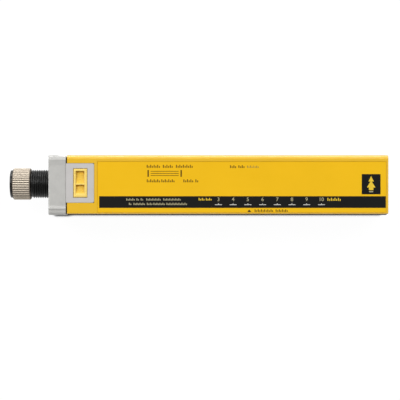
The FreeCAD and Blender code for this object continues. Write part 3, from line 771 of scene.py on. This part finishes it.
def finish_piece(
    piece: Piece, material: Material, body: Body, replaced: str = ""
) -> None:
    """Dress a piece, let it ride on its body and hide the node that it replaces.

    Args:
        piece: The finished mesh at the origin.
        material: Its finish.
        body: The body that it moves with.
        replaced: The node that it replaces, if any.
    """
    piece.data.materials.clear()
    piece.data.materials.append(material)
    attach(piece, body.value)
    if replaced:
        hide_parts(replaced)
    LOG.info("built %s with %d faces on %s", piece.name, len(piece.data.polygons), body.value)


def start_loop(x: float, radius: float, count: int) -> Piece:
    """Add an open circle round the X axis.

    Args:
        x: Its place along the axis.
        radius: Its radius.
        count: Its number of points.

    Returns:
        The circle, with its place in its mesh.
    """
    deselect()
    bpy.ops.mesh.primitive_circle_add(
        vertices=count, radius=radius, fill_type="NOTHING", location=(x, 0.0, 0.0),
        rotation=(0.0, math.pi / 2, 0.0),
    )
    return settle(bpy.context.object)


def widen(x: float, ratio: float) -> None:
    """Scale what is selected away from the X axis.

    Args:
        x: The place along the axis that the scaling is centred on.
        ratio: How many times as wide it becomes.
    """
    bpy.ops.transform.resize(value=(1.0, ratio, ratio), center_override=(x, 0.0, 0.0))


def draw_loops(start: tuple[float, float], steps: list[tuple[float, float]]) -> None:
    """Extrude the selected loop from step to step.

    Args:
        start: Where the loop is, as its place along the axis and its radius.
        steps: The places and radii that it is drawn to.
    """
    x, radius = start
    for next_x, next_radius in steps:
        bpy.ops.mesh.extrude_region_move(TRANSFORM_OT_translate={"value": (next_x - x, 0.0, 0.0)})
        widen(next_x, next_radius / radius)
        x, radius = next_x, next_radius


def face_outwards() -> None:
    """Turn every face of the piece in edit mode outwards."""
    bpy.ops.mesh.select_all(action="SELECT")
    bpy.ops.mesh.normals_make_consistent(inside=False)


def close_loops(piece: Piece) -> None:
    """Bridge the two open ends of a turned shell and turn its faces outwards.

    Args:
        piece: The shell in edit mode.
    """
    pick(piece, Pick.EDGES, lambda edge: edge.is_boundary)
    bpy.ops.mesh.bridge_edge_loops()
    bpy.ops.mesh.select_all(action="SELECT")
    bpy.ops.mesh.remove_doubles(threshold=MERGE_DISTANCE)
    face_outwards()


def move_to_axis(piece: Piece, axis_y: float, axis_z: float, name: str) -> Piece:
    """Move a piece made round the X axis onto the connector's axis.

    Args:
        piece: The piece.
        axis_y: The axis's place across the case.
        axis_z: The axis's height.
        name: The piece's name.

    Returns:
        The piece, settled.
    """
    piece.location = (0.0, axis_y, axis_z)
    settle(piece, name)
    bpy.ops.object.shade_smooth_by_angle(angle=SMOOTH_ANGLE)
    return piece


@dataclass
class ThreadedBarrel:
    """The connector's black barrel, with a true thread on a turned core.

    A name that ends in _mm is a distance out of the cap's face, in millimetres. The other
    measures are radii and sizes in metres.
    """

    cap_face: float
    axis_y: float
    axis_z: float
    crest: float = 7.13 * MM
    root: float = 6.6 * MM
    ridge_sunk: float = 0.06 * MM
    pitch: float = 1.12 * MM
    turns: int = 8
    crest_share: float = 0.26
    flank_share: float = 0.96
    bore: float = 4.6 * MM
    tail: float = 6.3 * MM
    collar: float = 6.5 * MM
    groove: float = 5.4 * MM
    shoulder_top: float = 6.3 * MM
    shoulder_foot: float = 6.15 * MM
    journal: float = 5.7 * MM
    seat: float = 5.2 * MM
    mouth: float = 4.75 * MM
    tail_mm: float = -8.0
    collar_mm: float = -3.5
    groove_mm: tuple[float, float] = (-2.5, -1.1)
    thread_mm: tuple[float, float] = (0.15, 9.6)
    ridge_mm: float = 0.45
    shoulder_mm: tuple[float, float] = (9.8, 9.9)
    journal_mm: float = 19.3
    mouth_mm: tuple[float, float] = (20.0, 19.85)
    points: int = 96

    def out(self, distance_mm: float) -> float:
        """Give the place along the axis at a distance out of the cap."""
        return self.cap_face - distance_mm * MM

    def core(self) -> Piece:
        """Turn the core: tail, seal groove, thread root, shoulder, journal and nose seat.

        Returns:
            The core as one closed shell.
        """
        outline = [
            (self.tail_mm, self.tail), (self.collar_mm, self.tail), (self.collar_mm, self.collar),
            (self.groove_mm[0], self.collar), (self.groove_mm[0], self.groove),
            (self.groove_mm[1], self.groove), (self.groove_mm[1], self.collar),
            (0.0, self.collar), (self.thread_mm[0], self.root), (self.thread_mm[1], self.root),
            (self.shoulder_mm[0], self.shoulder_top), (self.shoulder_mm[1], self.shoulder_foot),
            (self.shoulder_mm[1], self.journal), (self.journal_mm, self.journal),
            (self.journal_mm, self.seat), (self.mouth_mm[0], self.seat),
            (self.mouth_mm[0], self.mouth), (self.mouth_mm[1], self.bore),
            (self.tail_mm, self.bore),
        ]
        start, *steps = [(self.out(distance), radius) for distance, radius in outline]
        core = start_loop(*start, self.points)
        with editing(core):
            bpy.ops.mesh.select_all(action="SELECT")
            draw_loops(start, steps)
            close_loops(core)
        return core

    def ridge(self) -> Piece:
        """Wind the thread's ridge from one section.

        Returns:
            The ridge as one closed shell.
        """
        low = self.root - self.ridge_sunk
        middle = (low + self.crest) / 2
        start = self.out(self.ridge_mm)
        deselect()
        bpy.ops.mesh.primitive_plane_add(
            size=1.0, location=(start, 0.0, middle), rotation=(math.pi / 2, 0.0, 0.0)
        )
        ridge = bpy.context.object
        ridge.scale = (self.pitch * self.flank_share, self.crest - low, 1.0)
        settle(ridge)
        with editing(ridge, Pick.EDGES):
            pick(ridge, Pick.POINTS, lambda point: point.co.z > middle)
            bpy.ops.transform.resize(
                value=(self.crest_share, 1.0, 1.0), center_override=(start, 0.0, 0.0)
            )
            pick(ridge, Pick.FACES, lambda face: True)
            bpy.ops.mesh.delete(type="ONLY_FACE")
        screw = ridge.modifiers.new("thread", "SCREW")
        screw.axis = "X"
        screw.angle = math.tau
        screw.screw_offset = -self.pitch
        screw.iterations = self.turns
        screw.steps = screw.render_steps = self.points
        screw.use_merge_vertices = False
        only(ridge)
        bpy.ops.object.modifier_apply(modifier=screw.name)
        with editing(ridge, Pick.EDGES):
            pick(ridge, Pick.EDGES, lambda edge: edge.is_boundary)
            bpy.ops.mesh.fill_holes(sides=6)
            face_outwards()
        return ridge

    def build(self, finishes: Finishes) -> None:
        """Join core and ridge into the barrel that stands for the CAD one.

        Args:
            finishes: The part's finishes.
        """
        core = self.core()
        only(core, self.ridge())
        bpy.ops.object.join()
        barrel = move_to_axis(core, self.axis_y, self.axis_z, "threaded_barrel")
        finish_piece(barrel, finishes["black_moulding"], Body.UNIT,
                     "connector_barrel")


@dataclass
class CouplingRing:
    """The knurled ring: a turned blank with crowned ridges between straight flutes."""

    back: float
    axis_y: float
    axis_z: float
    length: float = 9.0 * MM
    radius: float = 8.0 * MM
    chamfer: float = 0.5 * MM
    flutes: int = 42
    flute_depth: float = 0.4 * MM
    flank_share: float = 0.45
    crown: float = 0.04 * MM
    bore: float = 5.9 * MM
    bore_chamfer: float = 0.3 * MM
    points_per_flute: int = 6

    def pull(self, ring: Piece, x: float, undo: bool) -> None:
        """Draw the flutes' points of the loop at a place in towards the axis, or back out.

        Args:
            ring: The ring in edit mode.
            x: The loop's place along the axis.
            undo: Whether the points go back out.
        """
        step = math.tau / (self.flutes * self.points_per_flute)
        flank = self.flute_depth * self.flank_share
        depths = {0: self.flute_depth, 1: flank, 5: flank, 2: self.crown, 4: self.crown}
        for place, depth in depths.items():

            def wanted(point: bmesh.types.BMVert) -> bool:
                """Whether a point is this one of its flute, on this loop."""
                turn = round(math.atan2(point.co.z, point.co.y) / step) % self.points_per_flute
                return abs(point.co.x - x) < SAME_PLACE and turn == place

            pick(ring, Pick.POINTS, wanted)
            ratio = (self.radius - depth) / self.radius
            widen(x, 1 / ratio if undo else ratio)
        pick(ring, Pick.POINTS, lambda point: abs(point.co.x - x) < SAME_PLACE)

    def build(self, finishes: Finishes) -> None:
        """Make the ring that stands for the CAD one.

        Args:
            finishes: The part's finishes.
        """
        front = self.back - self.length
        rim = self.radius - self.chamfer
        mouth = self.bore + self.bore_chamfer
        start = (self.back, rim)
        shoulder = (self.back - self.chamfer, self.radius)
        far_shoulder = (front + self.chamfer, self.radius)
        ring = start_loop(*start, self.flutes * self.points_per_flute)
        with editing(ring):
            bpy.ops.mesh.select_all(action="SELECT")
            draw_loops(start, [shoulder])
            self.pull(ring, shoulder[0], False)
            draw_loops(shoulder, [far_shoulder, (front, self.radius)])
            self.pull(ring, front, True)
            draw_loops((front, self.radius), [
                (front, rim), (front, mouth), (front + self.bore_chamfer, self.bore),
                (self.back - self.bore_chamfer, self.bore), (self.back, mouth),
            ])
            pick(ring, Pick.POINTS, lambda point: abs(point.co.x - front) < SAME_PLACE
                 and math.hypot(point.co.y, point.co.z) > self.radius - RIM_MARGIN)
            widen(front, rim / self.radius)
            close_loops(ring)
        ring = move_to_axis(ring, self.axis_y, self.axis_z, "knurled_ring")
        finish_piece(ring, finishes["ring_nickel"], Body.RING, "coupling_ring")


@dataclass(frozen=True)
class WordLine:
    """A line of plain bars, tall and short in turn, in place of words, in millimetres."""

    x: float
    y: float
    height: float
    widths: tuple[float, ...]
    gap: float = 0.9


@dataclass(frozen=True)
class Peak:
    """A printed triangle that points up, in millimetres, with the layers of ink below it."""

    x: float
    foot: float
    half_width: float
    height: float
    level: int


BROWN_LINES = (
    WordLine(49.25, 9.35, 1.5, (7.2, 5.6, 8.0)),
    WordLine(49.25, 2.1, 1.5, (6.4, 6.6)),
    WordLine(67.6, 2.1, 1.5, (5.1, 1.0)),
    WordLine(90.9, 9.2, 1.4, (3.3, 2.6)),
    WordLine(103.2, -12.8, 1.25, (9.6, 5.6)),
)
GREY_LINES = (WordLine(99.4, 9.15, 1.15, (5.6,)),)
PALE_LINES = (
    WordLine(39.0, -7.2, 1.1, (4.2, 1.2, 1.9, 7.6, 9.2)),
    WordLine(40.3, -9.45, 1.1, (1.4, 5.8, 2.4, 5.6, 10.2)),
)
YELLOW_LINES = (
    WordLine(75.2, -7.1, 1.25, (3.0, 2.6), 0.6),
    WordLine(139.6, -7.15, 1.5, (2.9, 2.9), 0.6),
)


@dataclass
class LabelPrint:
    """The print on the label: a dark band with a scale, a square with an arrow, and word bars.

    Places and sizes are in millimetres, from the cap's outer face and the case's middle line.
    Origin, heights and thicknesses are in metres. An area is its two ends and its two sides.
    """

    origin_x: float
    film_top: float
    layer: float = 0.03 * MM
    ink_bite: float = 0.01 * MM
    band: Area = (25.45, 168.8, -11.45, -5.6)
    square: Area = (156.75, 166.15, -4.65, 5.45)
    field_corner: float = 0.12
    index_mark: Peak = Peak(100.5, -13.45, 0.95, 1.25, 0)
    tick_start: float = 85.1
    tick_pitch: float = 7.35
    tick_count: int = 8
    tick_width: float = 3.5
    tick_height: float = 0.32
    tick_y: float = -9.85
    stem_half: float = 0.35
    stem_height: float = 0.8
    first_number: int = 3
    number_size: float = 2.6
    number_y: float = -7.25
    number_weight: float = 0.03 * MM
    dash_pitch: float = 0.42
    dash_spread: float = 0.3
    dash_width: float = 0.48
    dash_corner: float = 0.1
    low_share: float = 0.62
    posts: tuple[Area, Area] = ((49.6, 50.3, 4.1, 7.5), (66.1, 66.8, 4.1, 7.5))
    post_corner: float = 0.08
    beam_ends: tuple[float, float] = (51.2, 65.2)
    beam_half: float = 0.14
    beam_corner: float = 0.03
    beam_places: tuple[float, ...] = (4.75, 5.8, 6.85)
    arrow_foot: Area = (-1.15, 1.15, -2.55, -0.9)
    arrow_heads: tuple[Peak, Peak] = (
        Peak(0.0, -1.25, 2.15, 3.5, 2), Peak(0.0, 1.75, 1.35, 2.75, 1))
    foot_line: Area = (-1.05, 1.05, -3.6, -3.05)
    foot_corner: float = 0.2

    def heights(self, level: int) -> tuple[float, float]:
        """Give the underside and the top of a layer of ink.

        Args:
            level: How many layers of ink lie below it.

        Returns:
            The two heights.
        """
        sunk = (level - 0.5) * self.layer if level else -self.ink_bite
        return self.film_top + sunk, self.film_top + (level + 1) * self.layer

    def block(self, area: Area, level: int, corner: float, shift: float = 0.0) -> Piece:
        """Add a thin printed field with rounded corners.

        Args:
            area: Its two ends along the case, and its lower and upper side.
            level: How many layers of ink lie below it.
            corner: The radius of its corners.
            shift: How far it is moved along the case.

        Returns:
            The field.
        """
        x0, x1, y0, y1 = area
        low, high = self.heights(level)
        middle = shift + (x0 + x1) / 2
        deselect()
        bpy.ops.mesh.primitive_cube_add(
            size=1.0,
            location=(self.origin_x + middle * MM, (y0 + y1) / 2 * MM, (low + high) / 2),
            scale=((x1 - x0) * MM, (y1 - y0) * MM, high - low),
        )
        field = settle(bpy.context.object)
        with editing(field, Pick.EDGES):
            pick(field, Pick.EDGES,
                 lambda edge: abs(edge.verts[0].co.z - edge.verts[1].co.z) > SAME_PLACE)
            bpy.ops.mesh.bevel(offset=corner * MM, segments=3, affect="EDGES")
        return field

    def triangle(self, peak: Peak, shift: float = 0.0) -> Piece:
        """Add a thin printed triangle.

        Args:
            peak: Its place and measures.
            shift: How far it is moved along the case.

        Returns:
            The triangle.
        """
        low, high = self.heights(peak.level)
        middle = shift + peak.x
        deselect()
        bpy.ops.mesh.primitive_circle_add(
            vertices=3, radius=1.0, fill_type="NGON",
            location=(self.origin_x + middle * MM, (peak.foot + peak.height / 3) * MM, low),
        )
        shape = bpy.context.object
        shape.scale = (peak.half_width * MM / TRIANGLE_HALF_WIDTH,
                       peak.height * MM / TRIANGLE_HEIGHT, 1.0)
        settle(shape)
        with editing(shape, Pick.FACES):
            bpy.ops.mesh.select_all(action="SELECT")
            bpy.ops.mesh.extrude_region_move(
                TRANSFORM_OT_translate={"value": (0.0, 0.0, high - low)})
            face_outwards()
        return shape

    def word(self, line: WordLine, x: float, width: float, level: int) -> list[Piece]:
        """Add the tall bars and the short bars that stand for one word.

        Args:
            line: The line that it belongs to.
            x: Where it starts.
            width: Its width.
            level: How many layers of ink lie below it.

        Returns:
            The row of tall bars and the row of short ones.
        """
        pitch = 2 * (self.dash_pitch + line.height * self.dash_spread)
        foot = line.y - line.height / 2
        rows = []
        for start, share in ((x, 1.0), (x + pitch / 2, self.low_share)):
            area = (start, start + self.dash_width, foot, foot + line.height * share)
            dash = self.block(area, level, self.dash_corner)
            row = dash.modifiers.new("row", "ARRAY")
            row.count = max(round(width / pitch), 1)
            row.use_relative_offset = False
            row.use_constant_offset = True
            row.constant_offset_displace = (pitch * MM, 0.0, 0.0)
            only(dash)
            bpy.ops.object.modifier_apply(modifier=row.name)
            rows.append(dash)
        return rows

    def words(self, lines: tuple[WordLine, ...], level: int) -> list[Piece]:
        """Add lines of word bars.

        Args:
            lines: The lines.
            level: How many layers of ink lie below them.

        Returns:
            The bars.
        """
        bars = []
        for line in lines:
            x = line.x
            for width in line.widths:
                bars += self.word(line, x, width, level)
                x += width + line.gap
        return bars

    def numerals(self) -> list[Piece]:
        """Add the numbers of the scale.

        Returns:
            The numbers as meshes.
        """
        numbers = []
        for place in range(self.tick_count):
            x = self.tick_start + place * self.tick_pitch
            deselect()
            bpy.ops.object.text_add(location=(
                self.origin_x + x * MM, self.number_y * MM, self.film_top + 1.5 * self.layer))
            text = bpy.context.object
            text.data.body = str(self.first_number + place)
            text.data.size = self.number_size * MM
            text.data.align_x = text.data.align_y = "CENTER"
            text.data.extrude = self.layer / 2
            text.data.offset = self.number_weight
            only(text)
            bpy.ops.object.convert(target="MESH")
            numbers.append(settle(bpy.context.object))
        return numbers

    def scale_marks(self) -> list[Piece]:
        """Model one tick and copy it along the band.

        Returns:
            All the ticks.
        """
        x, y = self.tick_start, self.tick_y
        half, half_height = self.tick_width / 2, self.tick_height / 2
        area = (x - half, x + half, y - half_height, y + half_height)
        tick = self.block(area, 1, self.dash_corner)
        only(tick, self.triangle(Peak(x, y, self.stem_half, self.stem_height, 1)))
        bpy.ops.object.join()
        ticks = [tick]
        for place in range(1, self.tick_count):
            only(tick)
            bpy.ops.object.duplicate(linked=False)
            copy = bpy.context.object
            copy.location.x += place * self.tick_pitch * MM
            ticks.append(settle(copy))
        return ticks

    def arrow(self, x: float) -> list[Piece]:
        """Build the stepped arrow that shows which way up the unit is mounted.

        Args:
            x: Its middle along the case.

        Returns:
            Its foot and its two heads, the lower of which lies over the rest.
        """
        foot = self.block(self.arrow_foot, 1, self.dash_corner, x)
        return [foot, *(self.triangle(head, x) for head in self.arrow_heads)]

    def sketch(self) -> list[Piece]:
        """Draw a plain sign of two units with three beams between them.

        Returns:
            Its bars.
        """
        bars = [self.block(post, 0, self.post_corner) for post in self.posts]
        for y in self.beam_places:
            area = (*self.beam_ends, y - self.beam_half, y + self.beam_half)
            bars.append(self.block(area, 0, self.beam_corner))
        return bars

    def join(self, pieces: list[Piece], name: str, ink: Material) -> None:
        """Join one ink's marks into one piece.

        Args:
            pieces: The marks.
            name: The piece's name.
            ink: Its finish.
        """
        only(*pieces)
        bpy.ops.object.join()
        piece = settle(bpy.context.object, name)
        finish_piece(piece, ink, Body.UNIT)

    def build(self, finishes: Finishes) -> None:
        """Print every mark.

        Args:
            finishes: The part's finishes.
        """
        middle = (self.square[0] + self.square[1]) / 2
        dark = [self.block(area, 0, self.field_corner) for area in (self.band, self.square)]
        dark.append(self.triangle(self.index_mark))
        self.join(dark, "print_dark", finishes["dark_ink"])
        brown = self.words(BROWN_LINES, 0) + self.sketch()
        self.join(brown, "print_words", finishes["brown_ink"])
        self.join(self.words(GREY_LINES, 0), "print_lot", finishes["grey_ink"])
        self.join(self.words(PALE_LINES, 1), "print_note", finishes["pale_ink"])
        self.join(self.scale_marks(), "print_scale", finishes["bright_ink"])
        self.join(self.numerals(), "print_numbers", finishes["pale_ink"])
        yellow = self.words(YELLOW_LINES, 1) + self.arrow(middle)
        self.join(yellow, "print_yellow", finishes["yellow_ink"])
        foot = self.block(self.foot_line, 1, self.foot_corner, middle)
        self.join([foot], "print_foot", finishes["pale_ink"])


@dataclass(frozen=True)
class Lamp:
    """A soft rectangular lamp that faces the part."""

    name: str
    place: Point
    size: tuple[float, float]
    watts: float

    def hang(self) -> None:
        """Hang the lamp at its place and turn it to the part."""
        deselect()
        bpy.ops.object.light_add(type="AREA", location=self.place)
        lamp = bpy.context.object
        lamp.name = self.name
        lamp.data.shape = "RECTANGLE"
        lamp.data.size, lamp.data.size_y = self.size
        lamp.data.energy = self.watts
        x, y, z = self.place
        lamp.rotation_euler = (math.atan2(math.hypot(x, y), z), 0.0, math.atan2(-x, y) + math.pi)


@dataclass
class Studio:
    """The floor, the lights and the camera."""

    eye: Point = (1.0 * MM, -7.5 * MM, 800.0 * MM)
    lens_mm: float = 138.6
    sensor_mm: float = 36.0
    view_reach: float = 20.0
    floor_size: float = 6.0
    floor_drop: float = 0.1 * MM
    floor_grey: float = 0.3
    floor_roughness: float = 0.9
    floor_glow: float = 0.97
    shadow_grey: float = 0.06
    contact_reach: float = 2.2 * MM
    contact_samples: int = 16
    contact_lean: Point = (0.0, 0.99, 0.14)
    contact_fade: tuple[float, float] = (0.65, 0.93)
    clear_from: tuple[float, float] = (6.0 * MM, 13.0 * MM)
    front_light: float = 0.4
    back_light: float = 0.66
    zenith_share: float = 0.12
    zenith_fade: tuple[float, float] = (0.62, 0.92)
    lamps: tuple[Lamp, ...] = (
        Lamp("left_lamp", (-0.95, 0.75, 1.45), (0.9, 0.9), 18.6),
        Lamp("right_lamp", (0.95, 0.75, 1.45), (0.9, 0.9), 11.8),
        Lamp("edge_lamp", (0.0, 1.3, 0.26), (1.4, 0.22), 5.2),
    )

    def floor(self) -> None:
        """Lay a white floor with a painted soft contact shadow in front of the part, dimmed by
        occlusion.
        """
        deselect()
        bpy.ops.mesh.primitive_plane_add(
            size=self.floor_size, location=(0.0, 0.0, -self.floor_drop))
        floor = bpy.context.object
        floor.name = "studio_floor"
        recipe = Recipe("studio_floor")
        recipe.shader.inputs["Base Color"].default_value = grey(self.floor_grey)
        recipe.shader.inputs["Roughness"].default_value = self.floor_roughness
        soft = recipe.add("ShaderNodeBsdfDiffuse")
        soft.inputs["Color"].default_value = grey(self.shadow_grey)
        glow = recipe.add("ShaderNodeEmission")
        near = recipe.add("ShaderNodeAmbientOcclusion")
        near.samples = self.contact_samples
        near.inputs["Distance"].default_value = self.contact_reach
        near.inputs["Normal"].default_value = self.contact_lean
        behind = recipe.span(
            recipe.part(recipe.place, "Y"), 0.0, self.floor_glow, *self.clear_from)
        # Painted contact shadow: the glow dims where occlusion finds the part, and stays full
        # behind it.
        clear = recipe.span(near.outputs["AO"], 0.0, self.floor_glow, *self.contact_fade)
        recipe.link(recipe.combine("MAXIMUM", clear, behind), glow.inputs["Strength"])
        seen = recipe.add("ShaderNodeAddShader")
        recipe.link(soft.outputs["BSDF"], seen.inputs[0])
        recipe.link(glow.outputs["Emission"], seen.inputs[1])
        self.shown_white(recipe, recipe.shader.outputs["BSDF"], seen.outputs["Shader"])
        floor.data.materials.append(recipe.material)

    def shown_white(self, recipe: Recipe, plain: Socket, white: Socket) -> None:
        """Show the white shader to the camera and in reflections, and the plain one elsewhere.

        Args:
            recipe: The node tree being filled.
            plain: The shader that lights the part.
            white: The shader that is seen.
        """
        rays = recipe.add("ShaderNodeLightPath").outputs
        seen = recipe.combine("MAXIMUM", rays["Is Camera Ray"], rays["Is Transmission Ray"])
        mix = recipe.add("ShaderNodeMixShader")
        recipe.link(recipe.combine("MAXIMUM", seen, rays["Is Glossy Ray"]), mix.inputs["Fac"])
        recipe.link(plain, mix.inputs[1])
        recipe.link(white, mix.inputs[2])
        recipe.link(mix.outputs["Shader"], recipe.output.inputs["Surface"])

    def world(self) -> None:
        """Set a grey surround, darker in front and overhead, that the camera sees as white."""
        world = bpy.data.worlds.new("studio_world")
        tree = Tree(world)
        output = tree.add("ShaderNodeOutputWorld")
        background = tree.add("ShaderNodeBackground")
        background.inputs["Color"].default_value = grey(1.0)
        direction = tree.add("ShaderNodeTexCoord").outputs["Generated"]
        side = tree.span(
            tree.part(direction, "Y"), self.front_light, self.back_light, -1.0, 1.0)
        overhead = tree.span(
            tree.part(direction, "Z"), 1.0, self.zenith_share, *self.zenith_fade)
        strength = tree.add("ShaderNodeMix")
        rays = tree.add("ShaderNodeLightPath").outputs
        tree.link(rays["Is Camera Ray"], strength.inputs["Factor"])
        tree.link(tree.combine("MULTIPLY", side, overhead), strength.inputs["A"])
        strength.inputs["B"].default_value = 1.0
        tree.link(strength.outputs["Result"], background.inputs["Strength"])
        tree.link(background.outputs["Background"], output.inputs["Surface"])
        bpy.context.scene.world = world

    def camera(self) -> None:
        """Set the camera straight above the label side."""
        deselect()
        bpy.ops.object.camera_add(location=self.eye, rotation=(0.0, 0.0, 0.0))
        camera = bpy.context.object
        camera.data.lens = self.lens_mm
        camera.data.sensor_width = self.sensor_mm
        camera.data.clip_end = self.view_reach
        bpy.context.scene.camera = camera

    def build(self) -> None:
        """Set up the whole studio."""
        bpy.context.scene.view_settings.view_transform = "Standard"
        self.floor()
        self.world()
        for lamp in self.lamps:
            lamp.hang()
        self.camera()


def main() -> None:
    """Dress the part, add its modelled pieces and set the studio."""
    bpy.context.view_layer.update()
    cap_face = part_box("end_cap")[0].x
    nose_low, nose_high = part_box("connector_nose")
    axis_y = (nose_low.y + nose_high.y) / 2
    axis_z = (nose_low.z + nose_high.z) / 2
    finishes = Finishes((axis_y, axis_z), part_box("port_cover")[1].z)
    finishes.dress_nodes()
    ThreadedBarrel(cap_face, axis_y, axis_z).build(finishes)
    CouplingRing(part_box("coupling_ring")[1].x, axis_y, axis_z).build(finishes)
    LabelPrint(cap_face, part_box("side_label")[1].z).build(finishes)
    Studio().build()


if __name__ == "__main__":
    logging.basicConfig(level=logging.INFO, format="%(message)s")
    main()
